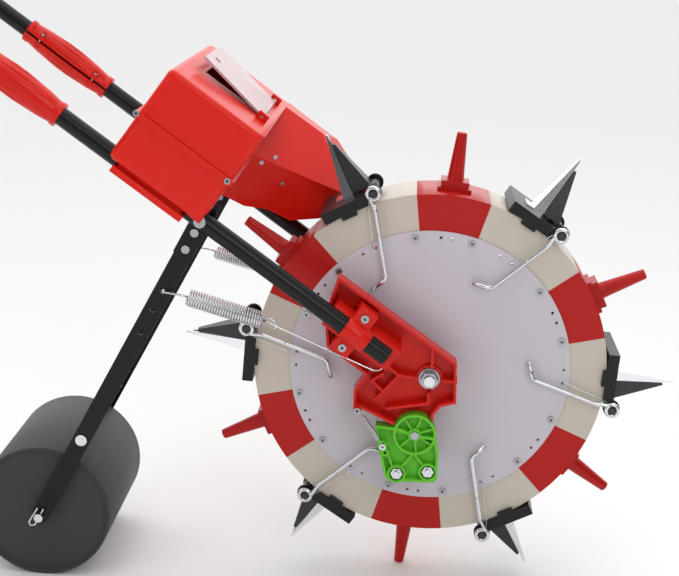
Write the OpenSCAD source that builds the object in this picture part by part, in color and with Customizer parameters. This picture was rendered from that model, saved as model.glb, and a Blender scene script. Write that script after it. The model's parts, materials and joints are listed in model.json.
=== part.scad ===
// Hand-push rolling seeder: a drum wheel of seed boxes and spacers with steel duck-bill
// nozzles, a seed hopper on two handle tubes, and a sprung press roller behind.
// Millimetres. +X is the way it is pushed, +Z is up, the ground is z = 0.
// "right" parts are at -Y and "left" parts at +Y, as seen by the person pushing.

/* [Layout] */
// Height of the drum axle over the ground
axle_z = 264.05; // [200:0.05:320]
// Distance of the axle in front of the middle of the footprint
axle_x = 391.3; // [0:0.1:600]
// Slope of the handle tubes
tube_slope = 34.8; // [20:0.1:50]
// Lower end of each handle tube, forward of the axle
tube_end_x = -48; // [-120:1:0]
// Lower end of each handle tube, above the axle
tube_end_z = 32.8; // [0:0.1:80]
// Distance of each handle tube from the middle plane
tube_y = 113; // [80:1:160]
// Handle tube outside diameter
tube_d = 20; // [16:1:30]
// Handle tube wall
tube_wall = 1.5; // [1:0.1:3]

/* [Drum] */
// Outside radius of the drum rim
drum_r = 200; // [150:1:260]
// Half of the rim's width
rim_half = 40.8; // [25:0.1:70]
// Inside radius of the seed boxes and spacers
box_in_r = 146; // [120:1:180]
// Wall of the seed boxes and spacers
box_wall = 3; // [2:0.5:5]
// Radius of the side plates
plate_r = 159.2; // [140:0.1:190]
// Side plate thickness
plate_t = 2; // [1:0.5:4]
// How many nozzles, and how many spacers
nozzle_n = 6; // [4:1:8]
// Angle of the first spacer
spacer_a = 85.1; // [0:0.1:360]
// Angle a spacer covers
spacer_w = 23.94; // [15:0.01:30]
// Angle of the first nozzle's tip
tip_a = 57; // [0:0.1:360]
// Radius of the nozzle tips
tip_r = 285.5; // [260:0.5:310]
// Radius of the ground spikes' tips
spike_r = 264.6; // [240:0.1:290]
// Radius on which the plate screws sit
screw_r = 152; // [140:1:158]

/* [Axle] */
// Axle radius
axle_r = 6; // [5:0.5:10]
// Running clearance of every turning fit, on the radius
fit = 0.06; // [0.02:0.01:0.1]

/* [Hopper] */
// Upper end of the hopper, along the tubes
hop_s0 = -366; // [-420:1:-300]
// Lower end of the hopper, along the tubes
hop_s1 = -247; // [-300:1:-200]
// Height of the hopper over the tubes' centre line
hop_h = 116; // [80:1:160]
// Half of the hopper's width
hop_y = 135; // [125:1:160]
// Height of the seam between the two halves
seam_n = 57; // [30:1:90]
// Hopper wall
hop_wall = 3; // [2:0.5:5]
// How far the lid stands open
lid_open = 9; // [0:1:60]

/* [Striker cam] */
// Cam pivot forward of the axle
cam_x = -13; // [-40:1:20]
// Cam pivot above the axle
cam_z = -64; // [-90:1:-40]

/* [Press arm] */
// Arm pivot forward of the axle
arm_x = -252; // [-300:1:-200]
// Arm pivot above the axle
arm_z = 175; // [120:1:220]
// Roller centre forward of the axle
roller_x = -436.6; // [-500:0.1:-380]
// Roller centre above the axle
roller_z = -185.4; // [-240:0.1:-120]
// Roller radius
roller_r = 78.6; // [50:0.1:110]
// Roller length
roller_len = 178.9; // [120:0.1:260]

/* [Handles] */
// How far up the tubes the two tube lengths meet
joint_s = -489; // [-600:1:-400]
// How far up the tubes the handle bends level
bend_s = -1000; // [-1200:1:-800]
// Radius of the handle bend
bend_r = 80; // [50:1:150]
// Length of the level handle end
grip_len = 150; // [100:1:220]

/* [Hidden] */
$fn = 96;
tube_r = tube_d / 2;
pitch = 360 / nozzle_n;
seed_w = pitch - spacer_w;
seed_a = spacer_a - 30;
eye_r = 210.4;       // jaw hinge, along the nozzle's own direction
eye_t = -25.8;       // jaw hinge, across it
shaft_r = 4;         // jaw shaft radius
lever_y = -50;       // plane of the bent wire levers
lever_wire = 2.5;
arm_t0 = 95;         // inside face of the press arm bars
arm_t1 = 98;
tab_t1 = 101;
arm_a = atan2(arm_z - roller_z, arm_x - roller_x);

// ---- helpers ------------------------------------------------------------------
module at_axle() { translate([axle_x, 0, axle_z]) children(); }

// along +X down the tube, +Z square to it; origin at the tube's lower end
module on_tube() {
  at_axle() translate([tube_end_x, 0, tube_end_z]) rotate([0, tube_slope, 0]) children();
}

// +X outward along nozzle k, +Z across it, counter-clockwise
module on_nozzle(k) { at_axle() rotate([0, -(tip_a + pitch * k), 0]) children(); }

module on_spacer(k) { at_axle() rotate([0, -(spacer_a + pitch * k), 0]) children(); }

module both_sides() { children(); mirror([0, 1, 0]) children(); }

// a round bar along Y
module ybar(x, z, y0, y1, r) {
  translate([x, y0, z]) rotate([-90, 0, 0]) cylinder(h = y1 - y0, r = r);
}

// a round bar along the local X
module xbar(x0, x1, y, z, r) {
  translate([x0, y, z]) rotate([0, 90, 0]) cylinder(h = x1 - x0, r = r);
}

// an outline in X and Z, from y0 to y1
module side_plate(pts, y0, y1) {
  translate([0, y1, 0]) rotate([90, 0, 0]) linear_extrude(height = y1 - y0) polygon(pts);
}

// walls of thickness t just inside an outline's edges
module side_rim(pts, t, y0, y1) {
  n = len(pts);
  intersection() {
    side_plate(pts, y0, y1);
    union() for (i = [0 : n - 1]) side_rib(pts[i], pts[(i + 1) % n], 2 * t, y0, y1);
  }
}

// a straight rib between two points in X and Z
module side_rib(p, q, t, y0, y1) {
  d = q - p;
  translate([p.x, y0, p.y]) rotate([0, -atan2(d.y, d.x), 0])
    translate([-t / 4, 0, -t / 2]) cube([norm(d) + t / 2, y1 - y0, t]);
}

// a ring sector about the axle, angles from +X towards +Z
module sector(r0, r1, y0, y1, a, w) {
  translate([0, y1, 0]) rotate([90, 0, 0]) rotate([0, 0, a - w / 2])
    rotate_extrude(angle = w) translate([r0, 0]) square([r1 - r0, y1 - y0]);
}

// a round rod between two points with slightly fuller ball ends
module rod(p, q, r) {
  d = q - p;
  l = norm(d);
  translate(p) sphere(r = r * 1.06, $fn = 32);
  translate(q) sphere(r = r * 1.06, $fn = 32);
  translate(p) rotate([0, acos(d.z / l), atan2(d.y, d.x)]) cylinder(h = l, r = r, $fn = 32);
}

// everything beyond the plane through three points, on the side the normal points
function unit(v) = v / norm(v);
module beyond(p, q, s) {
  e = unit(q - p);
  w = unit(cross(q - p, s - p));
  f = cross(w, e);
  multmatrix([[e.x, f.x, w.x, p.x], [e.y, f.y, w.y, p.y], [e.z, f.z, w.z, p.z], [0, 0, 0, 1]])
    translate([-400, -400, 0]) cube([800, 800, 300]);
}

// ---- handle -------------------------------------------------------------------
module main_tube(side) {
  color([0.03, 0.03, 0.03]) on_tube() difference() {
    xbar(joint_s, 0, side * tube_y, 0, tube_r);
    xbar(joint_s - 1, 1, side * tube_y, 0, tube_r - tube_wall);
    ybar(pivot_s, 0, side * tube_y - 20, side * tube_y + 20, 4.2);
  }
}
pivot_s = (arm_x - tube_end_x) * cos(tube_slope) - (arm_z - tube_end_z) * sin(tube_slope);
module main_tube_right() { main_tube(-1); }
module main_tube_left() { main_tube(1); }

bend_x = tube_end_x + bend_s * cos(tube_slope) - bend_r * sin(tube_slope);
bend_z = tube_end_z - bend_s * sin(tube_slope) - bend_r * cos(tube_slope);
module upper_tube(side) {
  color([0.03, 0.03, 0.03]) {
    on_tube() difference() {
      xbar(bend_s + 0.02, joint_s, side * tube_y, 0, tube_r);
      xbar(bend_s - 1, joint_s + 1, side * tube_y, 0, tube_r - tube_wall);
    }
    at_axle() translate([bend_x, side * tube_y, bend_z]) {
      difference() {
        bend_arc(0, tube_r);
        bend_arc(2, tube_r - tube_wall);
      }
      difference() {
        xbar(-grip_len, -0.02, 0, bend_r, tube_r);
        xbar(-grip_len - 1, 1, 0, bend_r, tube_r - tube_wall);
      }
    }
  }
}
module bend_arc(e, r) {
  rotate([90, 0, 0]) rotate([0, 0, 90 - tube_slope - e]) rotate_extrude(angle = tube_slope + 2 * e)
    translate([bend_r, 0]) circle(r = r);
}
module upper_tube_right() { upper_tube(-1); }
module upper_tube_left() { upper_tube(1); }

module grip(side) {
  color([0.05, 0.05, 0.05]) at_axle() translate([bend_x, side * tube_y, bend_z]) difference() {
    union() {
      xbar(-grip_len - 3, -22, 0, bend_r, 15);
      xbar(-28, -22, 0, bend_r, 18);
    }
    xbar(-grip_len, -20, 0, bend_r, tube_r);
    for (i = [0 : 9]) translate([-grip_len + 14 + i * 10.5, 0, bend_r]) rotate([0, 90, 0])
      rotate_extrude() translate([15.9, 0]) circle(r = 2, $fn = 24);
  }
}
module grip_right() { grip(-1); }
module grip_left() { grip(1); }

module handle_crossbar() {
  color([0.03, 0.03, 0.03]) on_tube() {
    difference() {
      union() {
        ybar(-900, 0, -tube_y, tube_y, 8);
        both_sides() xbar(-915, -885, tube_y, 0, 13);
      }
      both_sides() xbar(-920, -880, tube_y, 0, tube_r);
      ybar(-900, 0, -95, 95, 6.5);
    }
  }
}

// fluted clamps round the joint of the two tubes, split on the side facing the middle
module coupler(side) {
  color([0.72, 0.06, 0.04]) on_tube() translate([joint_s, side * tube_y, 0]) difference() {
    union() {
      rotate([0, 90, 0]) translate([0, 0, -58]) rotate_extrude() polygon([[0, 0], [14, 0],
        [14, 5], [13, 7], [15, 22], [17, 50], [17, 66], [15, 94], [13, 109], [14, 111],
        [14, 116], [0, 116]]);
      for (x = [-38, 38]) translate([x, -side * 12.8, -8]) cylinder(h = 16, r = 3.6);
    }
    xbar(-60, 60, 0, 0, tube_r);
    for (a = [15 : 30 : 345]) rotate([a, 0, 0]) xbar(-50, 50, 0, 17.9, 2.3);
    translate([-60, side > 0 ? -30 : 0, -1.5]) cube([120, 30, 3]);
    for (x = [-38, 38]) translate([x, -side * 12.8, 0]) {
      translate([0, 0, -20]) cylinder(h = 40, r = 1.6);
      translate([0, 0, 8]) cylinder(h = 12, r = 3.3);
    }
  }
}
module coupler_right() { coupler(-1); }
module coupler_left() { coupler(1); }

module coupler_screws() {
  color([0.75, 0.75, 0.77]) on_tube() for (side = [-1, 1], x = [-38, 38])
    translate([joint_s + x, side * (tube_y - 12.8), 0]) {
      translate([0, 0, -8]) cylinder(h = 17, r = 1.5);
      translate([0, 0, 8]) cylinder(h = 1.6, r = 3);
    }
}

// ---- side brackets -------------------------------------------------------------
bracket_pts = [[-105, 114], [29, 22], [31, -24], [14, -29], [7, -39], [6, -62], [-1, -78],
  [-24, -78], [-34, -55], [-63, -41], [-83, -32], [-83, -15], [-71, 4], [-115, 34],
  [-117, 55], [-114, 84]];
bracket_ribs = [[-34, 4, 0, 0], [-34, 4, -53, 18], [-34, 4, -58, -25], [-64, -4, -51, 5],
  [-64, -4, -49, -17], [0, 0, 30, 0], [2, 15, 2, 38], [0, -27, 0, -14], [-46, -36, 0, -27]];
module bracket() {
  difference() {
    union() {
      difference() {
        union() {
          side_plate(bracket_pts, -75.2, -71);
          side_rim(bracket_pts, 3, -92, -73);
          for (r = bracket_ribs) side_rib([r[0], r[1]], [r[2], r[3]], 3, -89, -73);
          ybar(0, 0, -80, -56.5, 15);
        }
        // room for the swinging cam
        ybar(cam_x, cam_z, -99, -75.2, 26);
        side_plate([[-34.5, -56.5], [-20, -50], [20, -50], [20, -130], [-50, -130]], -99, -75.2);
        // pocket the axle nut sits in
        ybar(0, 0, -99, -80, 14.2);
      }
      ybar(-78, -36, -92, -71, 5);
      // cradle reaching out to the handle tube
      translate([tube_end_x, 0, tube_end_z]) rotate([0, tube_slope, 0]) {
        translate([-78, -113, -14]) cube([87, 42, 28]);
        translate([-56, -113, -28]) cube([22, 42, 56]);
      }
    }
    translate([tube_end_x, 0, tube_end_z]) rotate([0, tube_slope, 0]) {
      xbar(-90, 0, -tube_y, 0, tube_r);
      translate([-73, -101, -10]) cube([12, 51, 20]);
      translate([-25, -100, -10]) cube([28, 50, 20]);
      for (n = [-20.5, 20.5]) ybar(-45, n, -120, -96, 2.1);
    }
    ybar(0, 0, -100, -50, axle_r);
    ybar(cam_x, cam_z, -100, -60, 4);
    ybar(-78, -36, -100, -80, 1.6);
  }
}
module bracket_right() { color([0.78, 0.06, 0.03]) at_axle() bracket(); }
module bracket_left() { color([0.78, 0.06, 0.03]) at_axle() mirror([0, 1, 0]) bracket(); }

module tube_clamps() {
  color([0.78, 0.06, 0.03]) on_tube() both_sides() difference() {
    union() {
      intersection() {
        xbar(-58, -27, -tube_y, 0, 13);
        translate([-60, -130, -14]) cube([40, 130 - tube_y, 28]);
      }
      translate([-56, -tube_y - 3, -28]) cube([22, 3, 56]);
    }
    xbar(-60, -20, -tube_y, 0, tube_r);
    for (n = [-20.5, 20.5]) ybar(-45, n, -120, -100, 2.1);
  }
}

module clamp_screws() {
  color([0.78, 0.78, 0.8]) on_tube() both_sides() for (n = [-20.5, 20.5]) {
    ybar(-45, n, -tube_y - 5.2, -tube_y - 3, 4.4);
    ybar(-45, n, -tube_y - 4, -98, 2);
  }
}

module axle_rod() {
  color([0.6, 0.61, 0.63]) at_axle() ybar(0, 0, -94, 94, axle_r);
}

module axle_nuts() {
  color([0.72, 0.72, 0.74]) at_axle() both_sides() difference() {
    union() {
      ybar(0, 0, -82.5, -80, 12);
      translate([0, -82.5, 0]) rotate([90, 0, 0]) cylinder(h = 8, r = 10.2, $fn = 6);
    }
    ybar(0, 0, -100, -70, axle_r);
  }
}

module axle_spacers() {
  color([0.15, 0.15, 0.15]) at_axle() both_sides() difference() {
    ybar(0, 0, -56.5, -46.8, 10);
    ybar(0, 0, -60, -40, axle_r);
  }
}

// ---- hopper -------------------------------------------------------------------
module hopper_box(n0, n1, w) {
  translate([hop_s0 + w, -hop_y + w, n0]) cube([hop_s1 - hop_s0 - 2 * w, 2 * (hop_y - w), n1 - n0]);
}

// a box with rounded upright edges
module round_box(s0, s1, y, n0, n1, r) {
  translate([s0 + r, -y, n0]) cube([s1 - s0 - 2 * r, 2 * y, n1 - n0]);
  translate([s0, -y + r, n0]) cube([s1 - s0, 2 * (y - r), n1 - n0]);
  for (s = [s0 + r, s1 - r], v = [-y + r, y - r]) translate([s, v, n0]) cylinder(h = n1 - n0, r = r);
}

// where the press arm's upper ends and pivot bolts swing clear
module arm_pocket(g) {
  both_sides() {
    translate([-280 - g, -105 - g, -5]) cube([60, 17 + 2 * g, 47 + g]);
    translate([-262 - g, -131 - 3 * g, -5]) cube([40, 50 + 4 * g, 19 + g]);
  }
}

module seed_window() {
  translate([hop_s1 - 8, 24, 16]) cube([12, 104, 92]);
}

module hopper_lower() {
  color([0.85, 0.09, 0.04]) on_tube() difference() {
    union() {
      round_box(hop_s0, hop_s1, hop_y, 0, seam_n, 8);
      translate([hop_s0 - 3, -hop_y - 3, seam_n - 4]) cube([6, 2 * hop_y + 6, 4]);
      translate([hop_s0 - 3, -hop_y - 3, seam_n - 4]) cube([hop_s1 - hop_s0 + 6, 5, 4]);
      translate([hop_s0 - 3, hop_y - 2, seam_n - 4]) cube([hop_s1 - hop_s0, 5, 4]);
      translate([hop_s1 - 2, -hop_y - 3, seam_n - 4]) cube([5, hop_y + 18, 4]);
    }
    difference() {
      round_box(hop_s0 + hop_wall, hop_s1 - hop_wall, hop_y - hop_wall, 14, seam_n + 1, 5);
      arm_pocket(3);
    }
    translate([hop_s0 + hop_wall, -96, -1]) cube([hop_s1 - hop_s0 - 2 * hop_wall, 192, 12]);
    both_sides() xbar(hop_s0 - 5, hop_s1 + 5, tube_y, 0, tube_r);
    arm_pocket(0);
    seed_window();
  }
}

module hopper_upper() {
  color([0.85, 0.09, 0.04]) on_tube() {
    difference() {
      union() {
        round_box(hop_s0, hop_s1, hop_y, seam_n, hop_h, 8);
        translate([hop_s0 - 3, -hop_y - 3, seam_n]) cube([6, 2 * hop_y + 6, 3]);
        translate([hop_s0 - 3, -hop_y - 3, seam_n]) cube([hop_s1 - hop_s0 + 6, 5, 3]);
        translate([hop_s0 - 3, hop_y - 2, seam_n]) cube([hop_s1 - hop_s0, 5, 3]);
        translate([hop_s1 - 2, -hop_y - 3, seam_n]) cube([5, hop_y + 18, 3]);
      }
      round_box(hop_s0 + hop_wall, hop_s1 - hop_wall, hop_y - hop_wall, seam_n - 1, hop_h - 3, 5);
      // filling mouth under the lid
      translate([-340, -36, hop_h - 10]) cube([66, 86, 20]);
      seed_window();
    }
    // hinge lugs
    difference() {
      union() {
        translate([-268, -69, hop_h]) cube([13, 8, 8.5]);
        translate([-268, 67, hop_h]) cube([13, 8, 8.5]);
      }
      ybar(-262, lid_n, -80, 80, 2 + fit);
    }
  }
}
lid_n = 119.8;

module hopper_saddle() {
  color([0.8, 0.08, 0.04]) on_tube() difference() {
    union() {
      translate([-356, -134, -11]) cube([103, 268, 7]);
      both_sides() xbar(-352, -270, tube_y, 0, 14);
    }
    both_sides() xbar(-360, -240, tube_y, 0, tube_r);
    translate([-400, -140, 0]) cube([200, 280, 30]);
    both_sides() translate([-266, -134.5, -20]) cube([20, 47, 40]);
  }
}

// seed duct from the hopper's left half round the drum to its left side plate
duct_a = [-247, 18, 116];
duct_b = [-129, 62, 82];
duct_c = [-192, 105, 116];
duct_d = [-86, 118, 116];
module duct(w) {
  difference() {
    intersection() {
      side_plate([[-248 - w * 4, 3 + w], [-240, 3 + w], [-218, 5 + w], [-194 - w * 0.3, 16 + w],
        [-164 - w * 0.4, 19 + w], [-131 - w * 0.6, 45 + w], [-45 - w, 48 + w], [-45 - w, hop_h - w],
        [-248 - w * 4, hop_h - w]], 0, 140);
      translate([0, 0, -5]) linear_extrude(height = 130) polygon([[-247 - w * 4, 18 + w * 1.1],
        [-247, 18 + w * 1.1], [-129 - w * 0.2, 62 + w * 1.1], [-45 - w, 62 + w], [-45 - w, hop_y - w],
        [-247 - w * 4, hop_y - w]]);
    }
    translate([0, w * 0.7, -w * 0.8]) beyond(duct_a, duct_b, duct_c);
    translate([0, w * 0.7, -w * 0.8]) beyond(duct_c, duct_b, duct_d);
    xbar(-260, -20, tube_y, 0, tube_r + 0.6 + w);
    translate([-262, 88 - w, -5]) cube([34 + w, 17 + 2 * w, 21 + w]);
    translate([-262, 80 - w, -5]) cube([26 + w, 51 + 2 * w, 19 + w]);
  }
}
module hopper_chute() {
  color([0.82, 0.08, 0.04]) on_tube() difference() {
    union() {
      duct(0);
      translate([-88, 46.2, 50]) cube([40, 18, 32]);
    }
    duct(hop_wall);
    translate([-300, 0, -10]) cube([53, 150, 140]);
    translate([-85, 40, 53]) cube([34, 30, 26]);
  }
}

module hopper_screws() {
  color([0.8, 0.8, 0.8]) on_tube() {
    // seam screws
    for (p = [[hop_s0 - 1, -hop_y - 3], [hop_s1 - 4, -hop_y - 3]])
      translate([p.x, p.y, seam_n]) ybar(0, 0, -1.6, 0, 3.4);
    // rivets on the duct's sloping front
    for (p = [[-232, 60], [-223, 74], [-198, 52]])
      translate([p.x, 18 + (p.x + 247) * 44 / 118, p.y]) rotate([0, 0, atan2(44, 118)])
        ybar(0, 0, -1.2, 0, 2.6);
    // saddle bolts
    for (s = [-340, -280], y = [-60, 60]) translate([s, y, -13.5]) cylinder(h = 2.5, r = 4.5);
  }
}

module hopper_lid() {
  color([0.92, 0.72, 0.68]) on_tube() translate([-262, 0, lid_n]) rotate([0, lid_open, 0]) {
    difference() {
      translate([-88, -56, -2.6]) cube([90, 118, 2.2]);
      translate([-80, -22, -4]) cube([7, 9, 6]);
    }
    ybar(0, 0, -67, 73, 2);
    difference() {
      translate([-88, -56, -3]) cube([92, 118, 1]);
      translate([-85, -53, -4]) cube([86, 112, 6]);
      translate([-6, -57, -4]) cube([12, 120, 6]);
    }
  }
}

// ---- drum ----------------------------------------------------------------------
screw_off = [13.8, -10.2];
mark_off = [3.1, -1.6, -23, -29];
module plate_holes(y0, y1) {
  for (k = [0 : nozzle_n - 1]) {
    for (o = screw_off) ring_hole(spacer_a + pitch * k + o, y0, y1, 2.1);
    for (o = mark_off) ring_hole(spacer_a + pitch * k + o, y0, y1, 1.7);
  }
}
module ring_hole(a, y0, y1, r) { ybar(screw_r * cos(a), screw_r * sin(a), y0, y1, r, $fn = 32); }

module drum_plate_right() {
  color([0.86, 0.83, 0.87]) at_axle() difference() {
    ybar(0, 0, -rim_half - plate_t, -rim_half, plate_r);
    ybar(0, 0, -60, -30, 14);
    plate_holes(-60, -30);
    for (a = [0 : 60 : 300]) ybar(24 * cos(a), 24 * sin(a), -60, -30, 2.1);
  }
}

// the left plate has a ring of feed windows that the duct's mouth faces
module drum_plate_left() {
  color([0.86, 0.83, 0.87]) at_axle() difference() {
    ybar(0, 0, rim_half, rim_half + plate_t, plate_r);
    ybar(0, 0, 30, 60, 14);
    plate_holes(30, 60);
    for (a = [0 : 60 : 300]) {
      ybar(24 * cos(a), 24 * sin(a), 30, 60, 2.1);
      sector(98, 142, 30, 60, a, 52);
    }
  }
}

module drum_hub() {
  color([0.3, 0.3, 0.32]) at_axle() difference() {
    union() {
      ybar(0, 0, -46.4, 46.4, 13.8);
      both_sides() ybar(0, 0, -rim_half, -rim_half + 4, 32);
    }
    ybar(0, 0, -50, 50, axle_r + fit);
    both_sides() for (a = [0 : 60 : 300]) ybar(24 * cos(a), 24 * sin(a), -60, -30, 2.1);
  }
}

module seg_shell(a, w) {
  difference() {
    sector(box_in_r, drum_r, -rim_half, rim_half, a, w);
    sector(box_in_r - 6, drum_r - box_wall, -rim_half + box_wall, rim_half - box_wall, a, w - 2.2);
    plate_holes(-60, -30);
    plate_holes(30, 60);
  }
}

module spacer_segments() {
  color([0.66, 0.05, 0.04]) at_axle() for (k = [0 : nozzle_n - 1])
    seg_shell(spacer_a + pitch * k, spacer_w);
}

module ground_spikes() {
  color([0.76, 0.06, 0.05]) for (k = [0 : nozzle_n - 1]) on_spacer(k) difference() {
    union() {
      translate([drum_r - 3, -19, -19]) cube([7, 38, 38]);
      translate([drum_r + 3, -15.5, -15.5]) cube([8, 31, 31]);
      translate([drum_r + 11, 0, 0]) rotate([0, 90, 0])
        cylinder(h = spike_r - 1 - drum_r - 11, r1 = 9.5, r2 = 5.8);
      translate([spike_r - 1, 0, 0]) rotate([0, 90, 0]) cylinder(h = 1, r1 = 5.8, r2 = 4.8);
    }
    ybar(0, 0, -60, 60, drum_r);
  }
}

// seed passage under each nozzle
module throat() { translate([170, -9, -10]) cube([60, 18, 16]); }

module seed_segments() {
  color([0.85, 0.82, 0.76]) difference() {
    at_axle() for (k = [0 : nozzle_n - 1]) seg_shell(seed_a + pitch * k, seed_w);
    for (k = [0 : nozzle_n - 1]) on_nozzle(k) throat();
  }
}

module nozzle_bases() {
  color([0.04, 0.04, 0.04]) for (k = [0 : nozzle_n - 1]) on_nozzle(k) difference() {
    union() {
      translate([199.4, -46, -19]) cube([12.1, 92, 57]);
      // clip legs over the rim's two faces
      translate([195, -46, 0]) cube([10, 92, 18]);
      // bearings for the jaw's shaft
      for (y = [-45, 17]) ybar(eye_r, eye_t, y, y + 4.6, 9.6);
    }
    ybar(0, 0, -rim_half, rim_half, drum_r);
    ybar(eye_r, eye_t, -60, 60, shaft_r + fit);
    throat();
  }
}

// fixed half of each duck bill
module nozzle_blades() {
  color([0.74, 0.76, 0.78]) for (k = [0 : nozzle_n - 1]) on_nozzle(k) {
    difference() {
      intersection() {
        side_plate([[211.5, 11.5], [211.5, -1], [tip_r - 2.5, -1], [tip_r, 0.8]], -20, 20);
        translate([0, 0, -5]) linear_extrude(height = 30)
          polygon([[211, -17], [tip_r, -2.8], [tip_r, 2.8], [211, 17]]);
      }
      intersection() {
        side_plate([[205, 11.6], [278, 0.9], [278, -6], [205, -6]], -20, 20);
        translate([0, 0, -6]) linear_extrude(height = 32)
          polygon([[205, -17.2], [278, -3.2], [278, 3.2], [205, 17.2]]);
      }
    }
    translate([211.5, -15, 11.5]) cube([1.5, 30, 9]);
  }
}

module plate_screws() {
  color([0.78, 0.78, 0.8]) at_axle() for (k = [0 : nozzle_n - 1], o = screw_off) {
    a = spacer_a + pitch * k + o;
    both_sides() {
      ybar(screw_r * cos(a), screw_r * sin(a), -rim_half - plate_t - 1.8, -rim_half - plate_t, 4);
      ybar(screw_r * cos(a), screw_r * sin(a), -rim_half - plate_t - 1, -33, 2);
    }
  }
  color([0.78, 0.78, 0.8]) at_axle() both_sides() for (a = [0 : 60 : 300]) {
    ybar(24 * cos(a), 24 * sin(a), -rim_half - plate_t - 1.8, -rim_half - plate_t, 3.6);
    ybar(24 * cos(a), 24 * sin(a), -rim_half - plate_t - 1, -34, 2);
  }
}

// moving half of a duck bill, on its cross shaft
module jaw(k) {
  color([0.22, 0.23, 0.24]) on_nozzle(k) {
    ybar(eye_r, eye_t, -53, 21.4, shaft_r);
    ybar(eye_r, eye_t, -13, 13, 5.2);
    difference() {
      intersection() {
        side_plate([[213.8, -23.5], [213.8, -1.8], [271, -1.8], [272, -4.5]], -20, 20);
        translate([0, 0, -40]) linear_extrude(height = 60)
          polygon([[211, -16.4], [272, -4.2], [272, 4.2], [211, 16.4]]);
      }
      intersection() {
        side_plate([[205, -25.1], [266, -5.2], [266, 5], [205, 5]], -20, 20);
        translate([0, 0, -41]) linear_extrude(height = 62)
          polygon([[205, -16.6], [266, -4.4], [266, 4.4], [205, 16.6]]);
      }
    }
  }
}
module jaw_1() { jaw(0); }
module jaw_2() { jaw(1); }
module jaw_3() { jaw(2); }
module jaw_4() { jaw(3); }
module jaw_5() { jaw(4); }
module jaw_6() { jaw(5); }

// bent wire lever that opens the jaw
bend_p = [117, lever_y, 1];
tail_p = [110, lever_y, 21.4];
module lever(k) {
  start = [eye_r, lever_y, eye_t] + 7 * unit(bend_p - [eye_r, lever_y, eye_t]);
  color([0.72, 0.73, 0.75]) on_nozzle(k) {
    difference() {
      ybar(eye_r, eye_t, lever_y - 2.2, lever_y + 2.2, 9);
      ybar(eye_r, eye_t, lever_y - 5, lever_y + 5, shaft_r);
    }
    rod(start, bend_p, lever_wire);
    rod(bend_p, tail_p, lever_wire);
  }
}
module lever_1() { lever(0); }
module lever_2() { lever(1); }
module lever_3() { lever(2); }
module lever_4() { lever(3); }
module lever_5() { lever(4); }
module lever_6() { lever(5); }

// ---- striker cam ----------------------------------------------------------------
cam_pts = [[-57, -55], [-30, -57], [-13, -64], [11, -66], [15, -87], [15, -114], [11, -119.5],
  [-38, -121], [-44, -116], [-54, -78]];
cam_bolt_pts = [[-31, -112], [4, -108]];
module cam_plate() {
  color([0.36, 0.78, 0.16]) at_axle() difference() {
    union() {
      side_plate(cam_pts, -84, -80);
      side_rim(cam_pts, 3, -92, -76);
      ybar(cam_x, cam_z, -84, -80, 24);
      difference() {
        ybar(cam_x, cam_z, -92, -76, 24);
        ybar(cam_x, cam_z, -93, -75, 21);
      }
      ybar(cam_x, cam_z, -92, -76, 7.5);
      for (a = [20 : 51.4 : 340])
        side_rib([cam_x + 5 * cos(a), cam_z + 5 * sin(a)],
          [cam_x + 22 * cos(a), cam_z + 22 * sin(a)], 2.4, -90, -78);
      for (p = cam_bolt_pts) {
        ybar(p.x, p.y, -92, -76, 10.5);
        side_rib([cam_x, cam_z - 22], p, 2.6, -90, -78);
      }
      side_rib([-47, -75], [-36, -104], 2.6, -90, -78);
      ybar(-45, -87, -92, -76, 4.6);
      ybar(-48, -77, -92, -78, 4.6);
    }
    ybar(cam_x, cam_z, -100, -70, 4 + fit);
    for (p = cam_bolt_pts) {
      ybar(p.x, p.y, -100, -70, 3.6);
      ybar(p.x, p.y, -93, -86, 8.2);
    }
    ybar(-45, -87, -100, -70, 2);
    ybar(-48, -77, -100, -80, 1.6);
  }
}

// bolts through the cam, each with a small striker wheel behind
module cam_strikers() {
  color([0.75, 0.75, 0.77]) at_axle() {
    for (p = cam_bolt_pts) {
      ybar(p.x, p.y, -94, -56, 3.5);
      translate([p.x, -86, p.y]) rotate([90, 0, 0]) cylinder(h = 5, r = 6.8, $fn = 6);
      ybar(p.x, p.y, -76, -72, 6);
      ybar(p.x, p.y, -67, -57, 8);
    }
    // the spring's screw
    ybar(-48, -77, -99.5, -88, 1.5);
    ybar(-48, -77, -101, -99.5, 3.6);
  }
}

module cam_pivot_bolt() {
  color([0.78, 0.78, 0.8]) at_axle() {
    ybar(cam_x, cam_z, -93, -63, 4);
    ybar(cam_x, cam_z, -95, -92.4, 4.6);
    ybar(cam_x, cam_z, -71, -66, 7);
    ybar(-78, -36, -99.5, -92, 1.6);
    ybar(-78, -36, -101, -99.5, 3.6);
  }
}

// the spring's own anchor on the cam is part of the spring
module cam_spring() {
  a = [-78, -96, -36];
  b = [-48, -96, -77];
  u = unit(b - a);
  v = [-u.z, 0, u.x];
  color([0.7, 0.7, 0.72]) at_axle() {
    rod(a + 2.6 * u, a + 9 * u, 0.7);
    rod(a + 9 * u, a + 9 * u + 2.4 * v, 0.7);
    rod(b - 9 * u, b - 9 * u - 2.4 * v, 0.7);
    rod(b - 9 * u, b - 2.6 * u, 0.7);
    translate(a + 8 * u) rotate([0, 180 - acos(-u.z), 0]) difference() {
      cylinder(h = norm(b - a) - 16, r = 3);
      translate([0, 0, -1]) cylinder(h = norm(b - a) - 14, r = 1.8);
    }
  }
}

// ---- press arm -------------------------------------------------------------------
arm_len = norm([arm_x - roller_x, arm_z - roller_z]);
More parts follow.
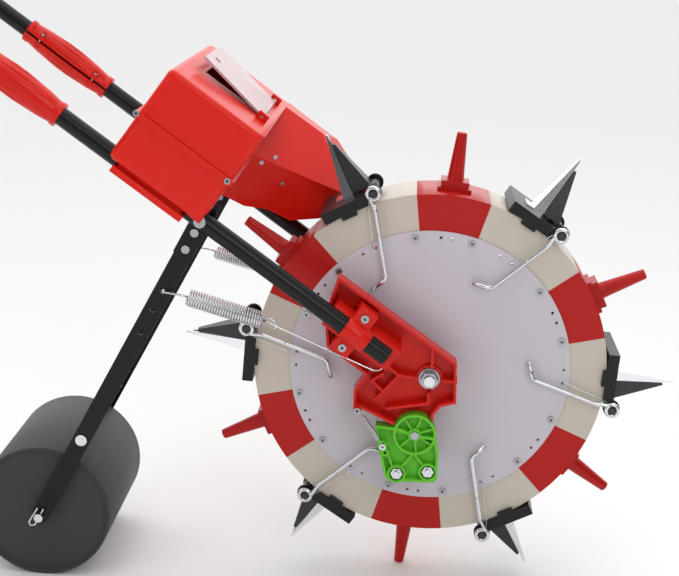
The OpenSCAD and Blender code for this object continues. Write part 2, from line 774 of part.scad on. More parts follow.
// +X from the roller up to the pivot
module on_arm() {
  at_axle() translate([roller_x, 0, roller_z]) rotate([0, -arm_a, 0]) children();
}
hole_s = [308, 284, 254];
rod_s = 107;
module arm_bar(side) {
  color([0.03, 0.03, 0.03]) on_arm() difference() {
    union() {
      translate([0, side > 0 ? arm_t0 : -arm_t1, -10]) cube([arm_len - 14, arm_t1 - arm_t0, 20]);
      ybar(0, 0, side > 0 ? arm_t0 : -arm_t1, side > 0 ? arm_t1 : -arm_t0, 10);
    }
    ybar(0, 0, -120, 120, 5);
    for (s = hole_s) ybar(s, 0, -120, 120, 3);
    ybar(rod_s, 0, -120, 120, 3.1);
    for (s = [arm_len - 20, arm_len - 41]) ybar(s, 0, -120, 120, 2.1);
  }
}
module arm_bar_right() { arm_bar(-1); }
module arm_bar_left() { arm_bar(1); }

// bolted-on ends that hang the arm from the tubes
module arm_tabs() {
  color([0.03, 0.03, 0.03]) on_arm() for (side = [-1, 1]) difference() {
    union() {
      translate([arm_len - 50, side > 0 ? arm_t1 : -tab_t1, -11])
        cube([side > 0 ? 50 : 70, tab_t1 - arm_t1, 22]);
      if (side > 0) ybar(arm_len, 0, arm_t1, tab_t1, 11);
    }
    ybar(arm_len, 0, -120, 120, 4 + fit);
    for (s = [arm_len - 20, arm_len - 41]) ybar(s, 0, -120, 120, 2.1);
  }
}

module arm_cross_rod() {
  color([0.55, 0.56, 0.58]) on_arm() {
    ybar(rod_s, 0, -101, 101, 3);
    both_sides() {
      ybar(rod_s, 0, -100.5, -arm_t1, 6.5);
      ybar(rod_s, 0, -arm_t0, -92, 6.5);
    }
  }
}

module arm_screws() {
  color([0.8, 0.8, 0.8]) on_arm() both_sides() for (s = [arm_len - 20, arm_len - 41]) {
    ybar(s, 0, -tab_t1 - 2.2, -tab_t1, 4.6);
    ybar(s, 0, -tab_t1 - 1, -arm_t0 + 3, 2);
    ybar(s, 0, -arm_t0, -arm_t0 + 3, 4);
  }
}

module arm_pivot_bolts() {
  color([0.75, 0.75, 0.77]) at_axle() both_sides() {
    ybar(arm_x, arm_z, -tube_y - 12, -93, 4);
    ybar(arm_x, arm_z, -tube_y - tube_r - 4.2, -tube_y - tube_r, 6.4);
    ybar(arm_x, arm_z, -tab_t1 + 3.4, -92, 7);
  }
}

// roller pin with a spring clip through each end
module roller_pin() {
  color([0.6, 0.61, 0.63]) on_arm() {
    difference() {
      ybar(0, 0, -108, 108, 5);
      both_sides() translate([-20, -103.6, -1.1]) cube([40, 2.2, 2.2]);
    }
    both_sides() {
      rod([-12, -102.5, 0], [10, -102.5, 0], 1);
      rod([-12, -102.5, 0], [-15, -102.5, 4], 1);
      rod([-15, -102.5, 4], [-12, -102.5, 7.5], 1);
      rod([-12, -102.5, 7.5], [8, -102.5, 6.4], 1);
    }
  }
}

module press_roller() {
  color([0.22, 0.21, 0.21]) on_arm() difference() {
    ybar(0, 0, -roller_len / 2, roller_len / 2, roller_r);
    ybar(0, 0, -100, 100, 5 + fit);
    both_sides() difference() {
      ybar(0, 0, -100, -roller_len / 2 + 3, roller_r - 4);
      ybar(0, 0, -101, -60, 16);
    }
    difference() {
      ybar(0, 0, -roller_len / 2 + 6, roller_len / 2 - 6, roller_r - 4);
      ybar(0, 0, -100, 100, 9);
    }
  }
}

// pull spring from the arm to the handle tube's lower end
module arm_spring(side) {
  y = side * 105;
  hook = [roller_x + hole_s[0] * cos(arm_a), y, roller_z + hole_s[0] * sin(arm_a)];
  c0 = [-268, y, 86];
  c1 = [-185, y, 64];
  w0 = [-169, y, 58];
  w1 = [-62, y, 14];
  w2 = [-54, y, 15.5];
  u = unit(c1 - c0);
  v = [-u.z, 0, u.x];
  color([0.7, 0.71, 0.73]) at_axle() {
    rod([hook.x, side * 93, hook.z], hook, 1.1);
    rod(hook, c0 + 1.6 * u, 1.1);
    rod(c0 + 1.6 * u, c0 + 1.6 * u + 8.7 * v, 1.1);
    rod(c1 - 1.6 * u, c1 - 1.6 * u - 8.7 * v, 1.1);
    rod(c1 - 1.6 * u, w0, 1.1);
    rod(w0, w1, 1.1);
    rod(w1, w2, 1.1);
    translate(c0) rotate([0, acos(u.z), 0]) difference() {
      cylinder(h = norm(c1 - c0), r = 10);
      translate([0, 0, -1]) cylinder(h = norm(c1 - c0) + 2, r = 7.4);
    }
  }
}
module arm_spring_right() { arm_spring(-1); }
module arm_spring_left() { arm_spring(1); }

// ---- parts -----------------------------------------------------------------------
main_tube_right();
main_tube_left();
upper_tube_right();
upper_tube_left();
handle_crossbar();
coupler_right();
coupler_left();
coupler_screws();
grip_right();
grip_left();
bracket_right();
bracket_left();
tube_clamps();
clamp_screws();
axle_rod();
axle_nuts();
axle_spacers();
hopper_lower();
hopper_upper();
hopper_saddle();
hopper_chute();
hopper_screws();
arm_pivot_bolts();
cam_pivot_bolt();
arm_spring_right();
arm_spring_left();
cam_spring();
drum_plate_right();
drum_plate_left();
drum_hub();
spacer_segments();
ground_spikes();
seed_segments();
nozzle_bases();
nozzle_blades();
plate_screws();
jaw_1();
jaw_2();
jaw_3();
jaw_4();
jaw_5();
jaw_6();
lever_1();
lever_2();
lever_3();
lever_4();
lever_5();
lever_6();
cam_plate();
cam_strikers();
arm_bar_right();
arm_bar_left();
arm_tabs();
arm_cross_rod();
arm_screws();
roller_pin();
press_roller();
hopper_lid();
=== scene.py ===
# %% [markdown]
# # Rolling seeder
# A hand-push seeder: a drum wheel of cream seed boxes and red spacers with steel duck-bill
# nozzles, a red hopper on two black handle tubes, a green striker cam and a sprung press roller.
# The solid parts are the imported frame; this file gives them their looks and replaces the
# pieces that solids can't show well: wire levers and coil springs.

# %% Load the frame
import json
import math
import bpy
from mathutils import Matrix, Vector


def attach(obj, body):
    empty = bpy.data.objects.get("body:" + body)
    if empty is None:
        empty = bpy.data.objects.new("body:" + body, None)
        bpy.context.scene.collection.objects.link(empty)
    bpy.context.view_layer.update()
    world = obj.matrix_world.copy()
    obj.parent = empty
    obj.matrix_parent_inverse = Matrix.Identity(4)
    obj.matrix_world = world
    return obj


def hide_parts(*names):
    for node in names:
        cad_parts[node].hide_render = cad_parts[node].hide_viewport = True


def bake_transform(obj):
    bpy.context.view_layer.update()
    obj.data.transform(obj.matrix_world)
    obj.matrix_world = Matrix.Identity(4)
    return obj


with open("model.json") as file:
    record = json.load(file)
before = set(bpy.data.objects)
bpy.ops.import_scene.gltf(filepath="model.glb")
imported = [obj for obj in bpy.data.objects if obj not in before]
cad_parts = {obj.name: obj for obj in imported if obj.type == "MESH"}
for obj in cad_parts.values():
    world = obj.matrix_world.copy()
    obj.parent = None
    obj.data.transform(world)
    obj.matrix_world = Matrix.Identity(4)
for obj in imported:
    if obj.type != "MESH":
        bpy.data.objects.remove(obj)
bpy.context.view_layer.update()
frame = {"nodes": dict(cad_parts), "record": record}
N = frame["nodes"]

# %% [markdown]
# ## Shared positions
# The axle is the centre of nearly everything here, so points are given in millimetres from it.
# Three helpers place a point from the axle, along a nozzle, or down the slope of the handle tubes.
# They repeat the solids' own driving sizes, so wire and screws land on the parts they belong to.

# %% Points from the axle
AXLE = Vector((0.3913, 0.0, 0.26405))
NOZZLES = 6
PITCH = 360 / NOZZLES
TIP_ANGLE = 57.0
SPACER_ANGLE = 85.1
SLOPE = math.radians(34.8)
TUBE_END_X, TUBE_END_Z = -48, 32.8


def at(x, y, z):
    """A point in metres from millimetres forward, left and up of the axle."""
    return AXLE + Vector((x, y, z)) / 1000.0


def near_nozzle(k, r, y, t):
    """A point on nozzle k: r outward, t across it, counter-clockwise."""
    a = math.radians(TIP_ANGLE + PITCH * k)
    return at(r * math.cos(a) - t * math.sin(a), y, r * math.sin(a) + t * math.cos(a))


def on_tube(s, y, n):
    """A point s millimetres down the slope of the tubes and n square to it."""
    x = TUBE_END_X + s * math.cos(SLOPE) + n * math.sin(SLOPE)
    return at(x, y, TUBE_END_Z - s * math.sin(SLOPE) + n * math.cos(SLOPE))


print("tip of the first nozzle", [round(v, 3) for v in near_nozzle(0, 285.5, 0, 0)])

# %% [markdown]
# ## Materials
# The real parts are moulded plastic, powder-coated tube, zinc-plated wire and sheet steel. Every
# finish is procedural on object coordinates: a base colour with slight mottling, a roughness that
# varies with the same large noise and, except on the smooth plates and lid, a fine bump. An image
# texture would need every part unwrapped, so none is used. Plastics get a low specular level, so
# that faces turned to the viewer stay deep in colour while faces seen at a low angle still catch
# the light.

# %% Material maker
PLASTIC_SPECULAR = 0.24
METAL_SPECULAR = 0.5
MOTTLE_SCALE = 9.0
ROUGHNESS_SPREAD = 0.08
BUMP_DEPTH = 0.001


def noise(nt, vector, scale, detail):
    node = nt.nodes.new("ShaderNodeTexNoise")
    node.inputs["Scale"].default_value = scale
    node.inputs["Detail"].default_value = detail
    nt.links.new(vector, node.inputs["Vector"])
    return node.outputs["Fac"]


def spread(nt, value, low, high):
    node = nt.nodes.new("ShaderNodeMapRange")
    node.inputs["To Min"].default_value = low
    node.inputs["To Max"].default_value = high
    nt.links.new(value, node.inputs["Value"])
    return node.outputs["Result"]


def surface(name, color, rough, metal=0.0, mottle=0.06, grain=400.0, bump=0.02,
            specular=PLASTIC_SPECULAR):
    """A finish of one colour, mottled a little, with a fine bump unless bump is 0."""
    m = bpy.data.materials.new(name)
    m.use_nodes = True
    nt = m.node_tree
    link = nt.links.new
    body = nt.nodes["Principled BSDF"]
    body.inputs["Metallic"].default_value = metal
    body.inputs["Specular IOR Level"].default_value = METAL_SPECULAR if metal else specular
    place = nt.nodes.new("ShaderNodeTexCoord").outputs["Object"]
    large = noise(nt, place, MOTTLE_SCALE, 3.0)
    tint = nt.nodes.new("ShaderNodeVectorMath")
    tint.operation = "SCALE"
    tint.inputs[0].default_value = color
    link(spread(nt, large, 1.0 - mottle, 1.0 + mottle), tint.inputs["Scale"])
    link(tint.outputs["Vector"], body.inputs["Base Color"])
    least = max(0.02, rough - ROUGHNESS_SPREAD)
    link(spread(nt, large, least, rough + ROUGHNESS_SPREAD), body.inputs["Roughness"])
    if bump:
        relief = nt.nodes.new("ShaderNodeBump")
        relief.inputs["Strength"].default_value = bump
        relief.inputs["Distance"].default_value = BUMP_DEPTH
        link(noise(nt, place, grain, 2.0), relief.inputs["Height"])
        link(relief.outputs["Normal"], body.inputs["Normal"])
    return m


# %% [markdown]
# ## The finishes
# One finish for each slot of the record. Screws, bolts and nuts share the zinc slot but are duller
# than the bright wire, so they have a darker zinc of their own.

# %% The finishes
M = {
    "red_shell": surface("red hopper plastic", (0.72, 0.014, 0.006), 0.30, mottle=0.05, bump=0.01),
    "red_part": surface("red bracket plastic", (0.66, 0.012, 0.005), 0.30, mottle=0.05, bump=0.02),
    "red_dark": surface("red drum plastic", (0.47, 0.008, 0.005), 0.32, mottle=0.06, bump=0.02),
    "cream": surface("cream plastic", (0.60, 0.545, 0.47), 0.38, mottle=0.05, bump=0.02),
    "plate": surface("milky plate", (0.60, 0.56, 0.615), 0.36, mottle=0.03, bump=0.0),
    "lid": surface("lid plastic", (0.58, 0.42, 0.43), 0.25, mottle=0.03, bump=0.0),
    "green": surface("green plastic", (0.13, 0.56, 0.028), 0.30, mottle=0.05, bump=0.02),
    "black_plastic": surface("black plastic", (0.008, 0.008, 0.009), 0.36, bump=0.06, specular=0.3),
    "tube_black": surface("black powder coat", (0.007, 0.007, 0.008), 0.32, bump=0.05,
                          specular=0.25),
    "grip": surface("grip foam", (0.012, 0.012, 0.012), 0.75, bump=0.2),
    "roller": surface("roller plastic", (0.052, 0.049, 0.050), 0.55, bump=0.04, grain=250.0),
    "zinc": surface("zinc plate", (0.70, 0.71, 0.73), 0.22, metal=1.0, mottle=0.08, bump=0.02),
    "bright": surface("bright sheet", (0.80, 0.82, 0.85), 0.20, metal=1.0, mottle=0.06, bump=0.02),
    "dark_steel": surface("dull sheet", (0.055, 0.056, 0.060), 0.38, metal=0.7, mottle=0.35,
                          bump=0.35, grain=700.0),
    "hub": surface("hub plastic", (0.05, 0.05, 0.052), 0.45),
}
SCREW_ZINC = surface("screw zinc", (0.40, 0.41, 0.43), 0.28, metal=1.0, mottle=0.1, bump=0.02)
slot_of = {s["node"]: s["material_slot"] for s in frame["record"]["subparts"]}
for name, o in N.items():
    is_fastener = "screw" in name or "bolt" in name or "nuts" in name
    o.data.materials.clear()
    o.data.materials.append(SCREW_ZINC if is_fastener else M[slot_of[name]])
print("finishes on", len(N), "parts")

# %% [markdown]
# ## Softened edges
# Moulded parts have small rounds that the solids leave sharp. A weld and bevel modifier gives
# them without touching the solid's own vertices, which a remesh would.

# %% Bevels
ROUND_MM = {
    "hopper_lower": 1.4, "hopper_upper": 1.4, "hopper_chute": 1.2, "hopper_saddle": 1.2,
    "bracket_right": 0.7, "bracket_left": 0.7, "tube_clamps": 0.7, "coupler_right": 0.5,
    "coupler_left": 0.5, "spacer_segments": 0.9, "seed_segments": 1.3, "ground_spikes": 0.7,
    "nozzle_bases": 0.6, "cam_plate": 0.5, "hopper_lid": 0.4, "press_roller": 1.2,
    "arm_bar_right": 0.3, "arm_bar_left": 0.3, "arm_tabs": 0.3, "axle_nuts": 0.4,
    "cam_strikers": 0.4, "clamp_screws": 0.4, "plate_screws": 0.4, "arm_screws": 0.4,
    "hopper_screws": 0.4,
}
WELD_REACH = 0.00002
for name, width in ROUND_MM.items():
    weld = N[name].modifiers.new("weld", "WELD")
    weld.merge_threshold = WELD_REACH
    soft = N[name].modifiers.new("round", "BEVEL")
    soft.width = width / 1000.0
    soft.segments = 2
    soft.limit_method = "ANGLE"
    soft.angle_limit = math.radians(35)
    soft.harden_normals = True
print("softened", len(ROUND_MM), "parts")

# %% [markdown]
# ## Hopper rounds
# The moulded hopper is much rounder along its long edges than a small bevel. A Geometry Nodes
# tree marks only the outer top or bottom edge loop with a bevel weight, from where it lies in
# the hopper's own frame, and a second bevel modifier rounds just those edges.

# %% A tree that marks the outer edge loop
HOPPER_MIDDLE = -0.3065
HOPPER_HALF_LENGTH = 0.0595
HOPPER_HALF_WIDTH = 0.135
HOPPER_CORNER = 0.008
HOPPER_TOP, HOPPER_FLOOR = 0.116, 0.0
DUCT_STARTS = -0.2485
EDGE_REACH = 0.0004


def socket_id(tree, name):
    return next(i.identifier for i in tree.interface.items_tree if i.name == name)


def new_tree(name, *inputs):
    """A Geometry Nodes tree with named inputs, each a name, a socket type and a default."""
    t = bpy.data.node_groups.new(name, "GeometryNodeTree")
    t.interface.new_socket("Geometry", in_out="INPUT", socket_type="NodeSocketGeometry")
    t.interface.new_socket("Geometry", in_out="OUTPUT", socket_type="NodeSocketGeometry")
    for title, kind, value in inputs:
        s = t.interface.new_socket(title, in_out="INPUT", socket_type="NodeSocket" + kind)
        if value is not None:
            s.default_value = value
    return t, t.nodes.new("NodeGroupInput"), t.nodes.new("NodeGroupOutput")


def edge_marker_tree():
    t, gin, gout = new_tree("outer edge marker", ("Level", "Float", 0.0))
    n, link = t.nodes, t.links.new

    def calc(op, a, b=0.0):
        node = n.new("ShaderNodeMath")
        node.operation = op
        for i, v in enumerate((a, b)):
            if isinstance(v, float):
                node.inputs[i].default_value = v
            else:
                link(v, node.inputs[i])
        return node.outputs[0]

    def along(direction):
        node = n.new("ShaderNodeVectorMath")
        node.operation = "DOT_PRODUCT"
        link(from_end.outputs["Vector"], node.inputs[0])
        node.inputs[1].default_value = direction
        return node.outputs["Value"]

    from_end = n.new("ShaderNodeVectorMath")
    from_end.operation = "SUBTRACT"
    link(n.new("GeometryNodeInputPosition").outputs["Position"], from_end.inputs[0])
    from_end.inputs[1].default_value = at(TUBE_END_X, 0, TUBE_END_Z)
    run = along((math.cos(SLOPE), 0, -math.sin(SLOPE)))
    rise = along((math.sin(SLOPE), 0, math.cos(SLOPE)))

    # distance from a box with rounded corners, in the hopper's own plan
    half_s, half_y = HOPPER_HALF_LENGTH - HOPPER_CORNER, HOPPER_HALF_WIDTH - HOPPER_CORNER
    off_s = calc("SUBTRACT", calc("ABSOLUTE", calc("ADD", run, -HOPPER_MIDDLE)), half_s)
    off_y = calc("SUBTRACT", calc("ABSOLUTE", along((0, 1, 0))), half_y)
    over_s, over_y = calc("MAXIMUM", off_s, 0.0), calc("MAXIMUM", off_y, 0.0)
    squares = calc("ADD", calc("MULTIPLY", over_s, over_s), calc("MULTIPLY", over_y, over_y))
    gap = calc("SUBTRACT", calc("SQRT", squares), HOPPER_CORNER)
    on_wall = calc("LESS_THAN", calc("ABSOLUTE", gap), EDGE_REACH)
    height = calc("ABSOLUTE", calc("SUBTRACT", rise, gin.outputs["Level"]))
    on_level = calc("LESS_THAN", height, EDGE_REACH)
    off_duct = calc("LESS_THAN", run, DUCT_STARTS)
    store = n.new("GeometryNodeStoreNamedAttribute")
    store.data_type, store.domain = "FLOAT", "EDGE"
    store.inputs["Name"].default_value = "bevel_weight_edge"
    link(gin.outputs["Geometry"], store.inputs["Geometry"])
    chosen = calc("MULTIPLY", calc("MULTIPLY", on_wall, on_level), off_duct)
    link(chosen, store.inputs["Value"])
    link(store.outputs["Geometry"], gout.inputs["Geometry"])
    return t


# %% [markdown]
# A bevel is only clean on whole flat faces, and a solid comes as loose triangles. So they are welded
# first, then flat triangles are dissolved into one face, then marked, and last rounded.

# %% Round the hopper's long edges
HOPPER_ROUND = 0.007
MARKER = edge_marker_tree()
for name, level in (("hopper_upper", HOPPER_TOP), ("hopper_lower", HOPPER_FLOOR)):
    o = N[name]
    flat = o.modifiers.new("flat faces", "DECIMATE")
    flat.decimate_type, flat.angle_limit = "DISSOLVE", math.radians(1.0)
    mark = o.modifiers.new("mark", "NODES")
    mark.node_group = MARKER
    mark[socket_id(MARKER, "Level")] = level
    big = o.modifiers.new("big round", "BEVEL")
    big.limit_method, big.width, big.segments = "WEIGHT", HOPPER_ROUND, 6
    big.use_clamp_overlap = False
    big.harden_normals = True
    for place, mod in enumerate((flat, mark, big), start=1):
        o.modifiers.move(o.modifiers.find(mod.name), place)
print("hopper modifiers", [m.name for m in N["hopper_upper"].modifiers])

# %% [markdown]
# ## Wires
# Levers and springs are wire following a path. A Geometry Nodes tree turns a path with sharp
# corners into rounded wire: fillet the corners, sweep a circle, realise, set the material.
# A tube swept by hand would need its own turning of each ring, which the tree does by itself.

# %% A tree for rounded wire
def wire_tree():
    t, gin, gout = new_tree("rounded wire", ("Wire Radius", "Float", 0.001),
                            ("Corner Radius", "Float", 0.005), ("Material", "Material", None))
    n, link = t.nodes, t.links.new
    path = n.new("GeometryNodeMeshToCurve")
    link(gin.outputs["Geometry"], path.inputs["Mesh"])
    bends = n.new("GeometryNodeFilletCurve")
    bends.mode = "POLY"
    bends.inputs["Count"].default_value = 8
    bends.inputs["Limit Radius"].default_value = True
    link(path.outputs["Curve"], bends.inputs["Curve"])
    link(gin.outputs["Corner Radius"], bends.inputs["Radius"])
    ring = n.new("GeometryNodeCurvePrimitiveCircle")
    ring.inputs["Resolution"].default_value = 14
    link(gin.outputs["Wire Radius"], ring.inputs["Radius"])
    sweep = n.new("GeometryNodeCurveToMesh")
    link(bends.outputs["Curve"], sweep.inputs["Curve"])
    link(ring.outputs["Curve"], sweep.inputs["Profile Curve"])
    sweep.inputs["Fill Caps"].default_value = True
    smooth = n.new("GeometryNodeSetShadeSmooth")
    link(sweep.outputs["Mesh"], smooth.inputs["Geometry"])
    finish_tree(t, smooth.outputs["Geometry"], gin, gout)
    return t


def finish_tree(t, geometry, gin, gout):
    """Realise the instances and set the material, because an export drops instances."""
    real = t.nodes.new("GeometryNodeRealizeInstances")
    t.links.new(geometry, real.inputs["Geometry"])
    mat = t.nodes.new("GeometryNodeSetMaterial")
    t.links.new(real.outputs["Geometry"], mat.inputs["Geometry"])
    t.links.new(gin.outputs["Material"], mat.inputs["Material"])
    t.links.new(mat.outputs["Geometry"], gout.inputs["Geometry"])


WIRE = wire_tree()

# %% [markdown]
# A tree works on an object, so a throwaway object carries the path, the modifier's inputs are set
# by identifier, and the result becomes a plain mesh. The wires of one piece are joined into one mesh.

# %% Run a tree on a path, and join wires into one piece
def run_tree(tree, points, edges, values):
    """The mesh that a tree makes from points and edges."""
    mesh = bpy.data.meshes.new("path")
    mesh.from_pydata([tuple(p) for p in points], edges, [])
    o = bpy.data.objects.new("path", mesh)
    bpy.context.scene.collection.objects.link(o)
    mod = o.modifiers.new("tree", "NODES")
    mod.node_group = tree
    for title, value in values.items():
        mod[socket_id(tree, title)] = value
    bpy.context.view_layer.update()
    made = o.evaluated_get(bpy.context.evaluated_depsgraph_get())
    got = bpy.data.meshes.new_from_object(made)
    bpy.data.objects.remove(o)
    return got


def wires(name, paths):
    """One zinc mesh of several wires: paths are (points, wire radius, corner radius)."""
    verts, faces = [], []
    for points, wire_r, corner in paths:
        edges = [(j, j + 1) for j in range(len(points) - 1)]
        got = run_tree(WIRE, points, edges, {"Wire Radius": wire_r, "Corner Radius": corner,
                                             "Material": M["zinc"]})
        base = len(verts)
        verts += [tuple(v.co) for v in got.vertices]
        faces += [tuple(base + i for i in p.vertices) for p in got.polygons]
    whole = bpy.data.meshes.new(name)
    whole.from_pydata(verts, [], faces)
    whole.materials.append(M["zinc"])
    whole.polygons.foreach_set("use_smooth", [True] * len(whole.polygons))
    whole.update()
    out = bpy.data.objects.new(name, whole)
    bpy.context.scene.collection.objects.link(out)
    return out


def coil_points(a, b, radius, turns, per=20, inward=0):
    """Points of a coil from a to b; over the first and last inward points it narrows to the axis."""
    d = (b - a).normalized()
    u = d.cross(Vector((0, 1, 0)) if abs(d.y) < 0.9 else Vector((1, 0, 0))).normalized()
    v = d.cross(u)
    n = int(turns * per)
    pts = []
    for i in range(n + 1):
        w = 2 * math.pi * i / per
        full = min(1.0, i / inward, (n - i) / inward) if inward else 1.0
        out = (u * math.cos(w) + v * math.sin(w)) * radius * max(full, 0.05)
        pts.append(a + (b - a) * (i / n) + out)
    return pts


# %% [markdown]
# ## Levers
# Each lever is plated wire, bent cold: an eye round the jaw's shaft, a straight run inwards, and a
# bent tail that the striker pushes. The leg of a thin closing spring lies along the lever, and a
# small collar sits on the wire. All of it turns with the jaw.

# %% Levers
SHAFT_R, SHAFT_T = 210.4, -25.8
LEVER_Y = -50
EYE_RING = 0.0066
EYE_PITCH = 0.0016
FULL_TURN = 6.28
STRAIGHT_START = 0.020
LEVER_WIRE, SPRING_WIRE, COLLAR = 0.0025, 0.0004, 0.00285


def lever_paths(k):
    """The lever's own wire, its closing spring's leg, and the collar."""
    eye = near_nozzle(k, SHAFT_R, LEVER_Y, SHAFT_T)
    bend, tail = near_nozzle(k, 117, LEVER_Y, 1), near_nozzle(k, 110, LEVER_Y, 21.4)
    along = (bend - eye).normalized()
    side = along.cross(Vector((0, 1, 0)))
    ring = []
    for w in [math.radians(a) for a in range(-40, 330, 15)]:
        across = Vector((0, EYE_PITCH * (w / FULL_TURN - 0.5), 0))
        ring.append(eye + (along * math.cos(w) + side * math.sin(w)) * EYE_RING + across)
    wire = ring[::-1] + [eye + along * STRAIGHT_START, bend, tail]
    leg = [near_nozzle(k, *p) for p in ((SHAFT_R, -47.2, -20.4), (196, -47.6, -14),
                                        (168, -47.4, -5), (152, -47.4, 1))]
    collar = [near_nozzle(k, 166.4, LEVER_Y, -13.1), near_nozzle(k, 164.6, LEVER_Y, -12.6)]
    return [(wire, LEVER_WIRE, 0.009), (leg, SPRING_WIRE, 0.004), (collar, COLLAR, 0.0)]


for k in range(NOZZLES):
    o = wires(f"lever_wire_{k + 1}", lever_paths(k))
    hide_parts(f"lever_{k + 1}")
    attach(o, f"jaw{k + 1}")
print("levers", NOZZLES)

# %% [markdown]
# ## Pull springs
# Two close-wound springs press the roller down. Each hooks through a hole in the arm, and a long
# straight wire carries the pull on to the tube's lower end. They stretch between the two bodies.

# %% Pull springs
COIL_R, COIL_WIRE, TAIL_WIRE, LOOP_WIRE = 0.0088, 0.0011, 0.0010, 0.0009
for side, name in ((-1, "right"), (1, "left")):
    y = 105 * side
    hook, coil_top, coil_end, joined = at(-292, y, 90), at(-268, y, 86), at(-185, y, 64), at(-169, y, 58)
    coil = coil_points(coil_top, coil_end, COIL_R, 29, per=18, inward=10)
    through = [at(-296.2, 90 * side, 88.8), at(-296.2, 101 * side, 88.8), hook, at(-276, y, 88), coil[0]]
    tail = [coil_end, at(-177, y, 62), joined, at(-62, y, 14), at(-52.5, y, 15), at(-53.5, y, 19)]
    loop = [coil_end, at(-178, y, 68), at(-171, y, 64), joined, at(-173, y, 55)]
    o = wires(f"pull_spring_{name}", [(coil, COIL_WIRE, 0.0), (through, COIL_WIRE, 0.004),
                                      (tail, TAIL_WIRE, 0.003), (loop, LOOP_WIRE, 0.003)])
    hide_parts(f"arm_spring_{name}")
    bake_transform(o)
print("pull springs 2")

# %% [markdown]
# ## Cam spring
# A small pull spring holds the striker cam back. It runs from a screw on the bracket to one on the
# cam; the real spring stretches when the cam swings, but here it is one fixed mesh.

# %% Cam spring
CAM_COIL_R, CAM_WIRE, HOOK_LENGTH, HOOK_GAP = 0.0028, 0.0006, 0.009, 0.002
a, b = at(-78, -96, -36), at(-48, -96, -77)
d = (b - a).normalized()
coil = coil_points(a + d * HOOK_LENGTH, b - d * HOOK_LENGTH, CAM_COIL_R, 17, per=16, inward=5)
hooks = [a + d * HOOK_GAP, a + d * HOOK_LENGTH], [b - d * HOOK_LENGTH, b - d * HOOK_GAP]
o = wires("cam_pull_spring", [(coil, CAM_WIRE, 0.0)] + [(hook, CAM_WIRE, 0.0) for hook in hooks])
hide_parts("cam_spring")
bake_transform(o)
print("cam spring", round((b - a).length * 1000), "mm between its screws")

# %% [markdown]
# ## Screw recesses, drawn as painted shade
# The screws of the drum plates, the tube clamps and the hopper's right side, and the cam spring's
# two, have a cross recess. One small cross is placed on each head by a Geometry Nodes tree, each
# turned by its own seeded angle, since screws never stop in line. The cross is a dark inlay on the
# head: painted shade standing for the shadowed hollow of the recess, and it leaves the solid whole.

# %% A tree for crosses
def cross_tree():
    t, gin, gout = new_tree("screw painted shade crosses", ("Length", "Float", 0.005), ("Width", "Float", 0.001),
                            ("Depth", "Float", 0.0006), ("Seed", "Int", 4),
                            ("Material", "Material", None))
    n, link = t.nodes, t.links.new
    points = n.new("GeometryNodeMeshToPoints")
    link(gin.outputs["Geometry"], points.inputs["Mesh"])
    join = n.new("GeometryNodeJoinGeometry")
    for x_size, z_size in (("Length", "Width"), ("Width", "Length")):
        size, bar = n.new("ShaderNodeCombineXYZ"), n.new("GeometryNodeMeshCube")
        link(gin.outputs[x_size], size.inputs["X"])
        link(gin.outputs["Depth"], size.inputs["Y"])
        link(gin.outputs[z_size], size.inputs["Z"])
        link(size.outputs["Vector"], bar.inputs["Size"])
        link(bar.outputs["Mesh"], join.inputs["Geometry"])
    turn = n.new("FunctionNodeRandomValue")
    turn.data_type = "FLOAT_VECTOR"
    turn.inputs[0].default_value = (0, 0, 0)
    turn.inputs[1].default_value = (0, math.pi / 2, 0)
    link(gin.outputs["Seed"], turn.inputs["Seed"])
    each = n.new("GeometryNodeInstanceOnPoints")
    link(points.outputs["Points"], each.inputs["Points"])
    link(join.outputs["Geometry"], each.inputs["Instance"])
    link(turn.outputs[0], each.inputs["Rotation"])
    finish_tree(t, each.outputs["Instances"], gin, gout)
    return t


# %% [markdown]
# The crosses are one mesh for each body, so that the drum's turn with the drum and the cam's
# swing with the cam.

# %% Crosses on the heads
CROSS = cross_tree()
CROSS_THICK = 0.0003
CROSS_SHAPE = 0.22
SCREW_CIRCLE = 152
SCREW_OFFSETS = (13.8, -10.2)
PLATE_HEAD_Y = 44.65
CLAMP_HEAD_Y = 118.25


def crosses(name, points, length, body, seed):
    # The black crosses are painted shade: dark marks where the screw recesses would lie in shadow.
    got = run_tree(CROSS, points, [], {"Length": length, "Width": length * CROSS_SHAPE,
                                       "Depth": CROSS_THICK, "Seed": seed,
                                       "Material": M["black_plastic"]})
    out = bpy.data.objects.new(name, got)
    bpy.context.scene.collection.objects.link(out)
    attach(out, body)


plate_heads = []
for k in range(NOZZLES):
    for offset in SCREW_OFFSETS:
        a = math.radians(SPACER_ANGLE + PITCH * k + offset)
        for y in (-PLATE_HEAD_Y, PLATE_HEAD_Y):
            plate_heads.append(at(SCREW_CIRCLE * math.cos(a), y, SCREW_CIRCLE * math.sin(a)))
frame_heads = [on_tube(-45, side * CLAMP_HEAD_Y, n) for side in (-1, 1) for n in (-20.5, 20.5)]
frame_heads += [on_tube(-367, -139.65, 57), on_tube(-251, -139.65, 57), at(-78, -101.05, -36)]
cam_heads = [at(-48, -101.05, -77)]
crosses("plate_screw_painted_shade", plate_heads, 0.0042, "drum", 3)
crosses("frame_screw_painted_shade", frame_heads, 0.0046, "frame", 5)
crosses("cam_screw_painted_shade", cam_heads, 0.0042, "cam", 2)
print("recesses on", len(plate_heads + frame_heads + cam_heads), "screws")

# %% [markdown]
# ## Floor and sky
# A plain pale floor runs out of sight behind the seeder. The sky is bright overhead and behind and
# dark towards the viewer, so that plated wire shows light and dark bands, and faces seen at a low
# angle shine.

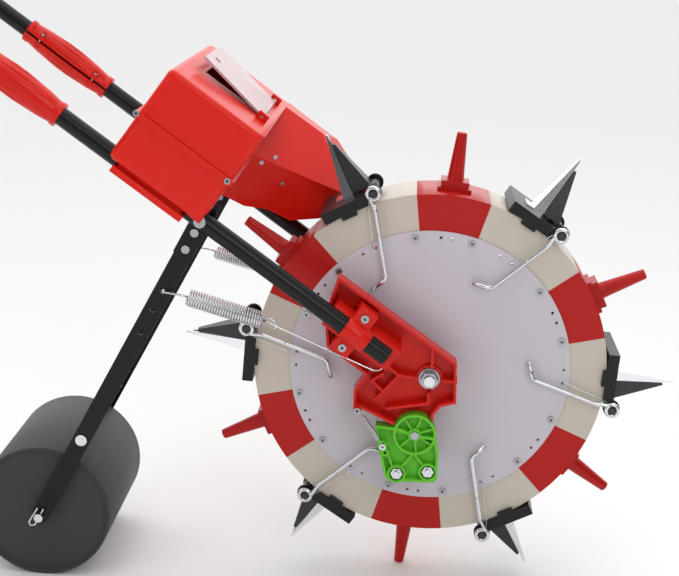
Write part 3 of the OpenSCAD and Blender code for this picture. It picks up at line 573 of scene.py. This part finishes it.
# %% Floor
bpy.ops.mesh.primitive_plane_add(size=30, location=(0, 0, 0))
floor = bpy.context.object
floor.name = "floor"
floor_finish = bpy.data.materials.new("floor")
floor_finish.use_nodes = True
floor_shader = floor_finish.node_tree.nodes["Principled BSDF"]
floor_shader.inputs["Base Color"].default_value = (0.86, 0.86, 0.86, 1)
floor_shader.inputs["Roughness"].default_value = 0.9
floor.data.materials.append(floor_finish)
print("floor", floor.dimensions[0], "m across")

# %% Sky
BACK_GLOW = ("Y", -0.15, 0.7, 0.06, 1.45)
OVERHEAD_GLOW = ("Z", 0.2, 0.85, 0.0, 0.6)
world = bpy.data.worlds.new("studio")
world.use_nodes = True
wn, wlink = world.node_tree.nodes, world.node_tree.links.new
wn["Background"].inputs["Color"].default_value = (1, 1, 1, 1)
direction, parts, total = (wn.new("ShaderNodeTexCoord"), wn.new("ShaderNodeSeparateXYZ"),
                           wn.new("ShaderNodeMath"))
total.operation = "ADD"
wlink(direction.outputs["Generated"], parts.inputs["Vector"])
for i, (axis, start, end, low, high) in enumerate((BACK_GLOW, OVERHEAD_GLOW)):
    glow = wn.new("ShaderNodeMapRange")
    glow.interpolation_type = "SMOOTHSTEP"
    for key, v in (("From Min", start), ("From Max", end), ("To Min", low), ("To Max", high)):
        glow.inputs[key].default_value = v
    wlink(parts.outputs[axis], glow.inputs["Value"])
    wlink(glow.outputs["Result"], total.inputs[i])
wlink(total.outputs["Value"], wn["Background"].inputs["Strength"])
bpy.context.scene.world = world
print("sky brightest at", round(BACK_GLOW[-1] + OVERHEAD_GLOW[-1], 2))

# %% [markdown]
# ## Lights and camera
# Three large soft lights: one above, one in front on the drum's side and a weaker one by the roller.
# The camera stands on the seeder's right, about three quarters of a metre above the ground, and
# looks slightly down at the drum.

# %% Lights
def light(name, loc, target, size, power):
    d = bpy.data.lights.new(name, "AREA")
    d.energy, d.shape, d.size, d.size_y = power, "RECTANGLE", size[0], size[1]
    o = bpy.data.objects.new(name, d)
    o.location = loc
    o.rotation_euler = (Vector(target) - Vector(loc)).to_track_quat("-Z", "Y").to_euler()
    bpy.context.scene.collection.objects.link(o)


light("top", (0.3, -0.3, 2.6), (0.2, 0, 0.2), (2.2, 1.6), 14)
light("front", (1.3, -2.4, 1.7), (0.2, 0, 0.3), (1.3, 1.3), 16)
light("fill", (-1.7, -2.0, 1.1), (0.0, 0, 0.3), (1.1, 1.3), 8)
print("lights", len(bpy.data.lights))

# %% Camera
cam = bpy.data.cameras.new("camera")
cam.sensor_width, cam.lens = 36.0, 73.75
cam_o = bpy.data.objects.new("camera", cam)
look = Vector((-0.04711, 0.96277, -0.26619))
right = Vector((0.99752, 0.05931, 0.03797))
up = right.cross(look)
turned = Matrix((right, up, -look)).transposed().to_4x4()
cam_o.matrix_world = Matrix.Translation(at(-32.0, -1548.0, 504.3)) @ turned
bpy.context.scene.collection.objects.link(cam_o)
bpy.context.scene.camera = cam_o
bpy.context.scene.view_settings.view_transform = "Standard"
print("camera at", [round(v, 2) for v in cam_o.matrix_world.translation])
